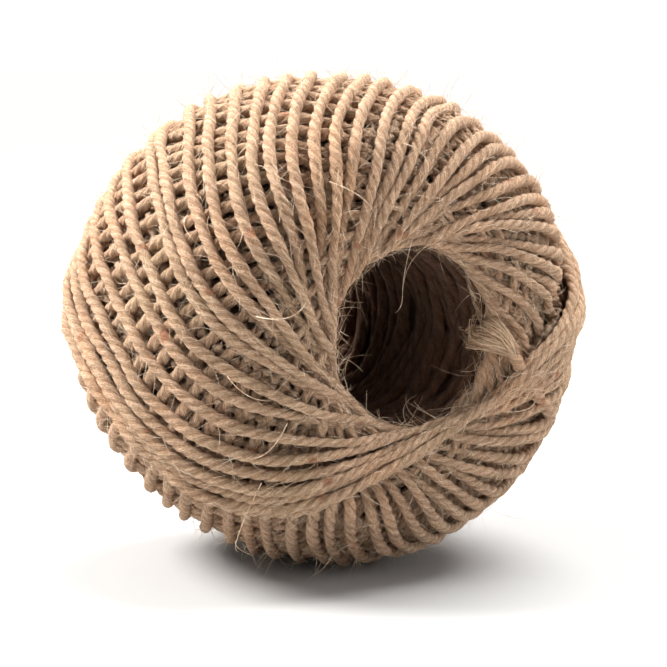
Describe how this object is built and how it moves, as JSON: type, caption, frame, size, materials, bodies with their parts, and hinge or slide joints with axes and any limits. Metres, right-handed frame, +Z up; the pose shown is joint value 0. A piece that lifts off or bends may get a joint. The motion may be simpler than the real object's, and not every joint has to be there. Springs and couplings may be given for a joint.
{
  "type": "ball of twine",
  "caption": "Machine-wound ball of natural jute twine with a hole through it where the spindle was, a raised band of last-laid strands and a frayed end tucked in by the hole.",
  "frame": {"origin": "middle of the flat spot that the ball stands on, under its centre", "axes": "+Z up; Y along the hole through the ball, with the face that has the loose end towards -Y; +X to the right of that face"},
  "size_m": [0.0758, 0.0603, 0.0748],
  "materials": {
    "jute_wound": "matte, hairy twisted bast fibre",
    "jute_end": "matte, untwisted frayed bast fibre"
  },
  "bodies": {
    "root": {"wound_ball": "jute_wound", "loose_end": "jute_end"}
  },
  "joints": []
}
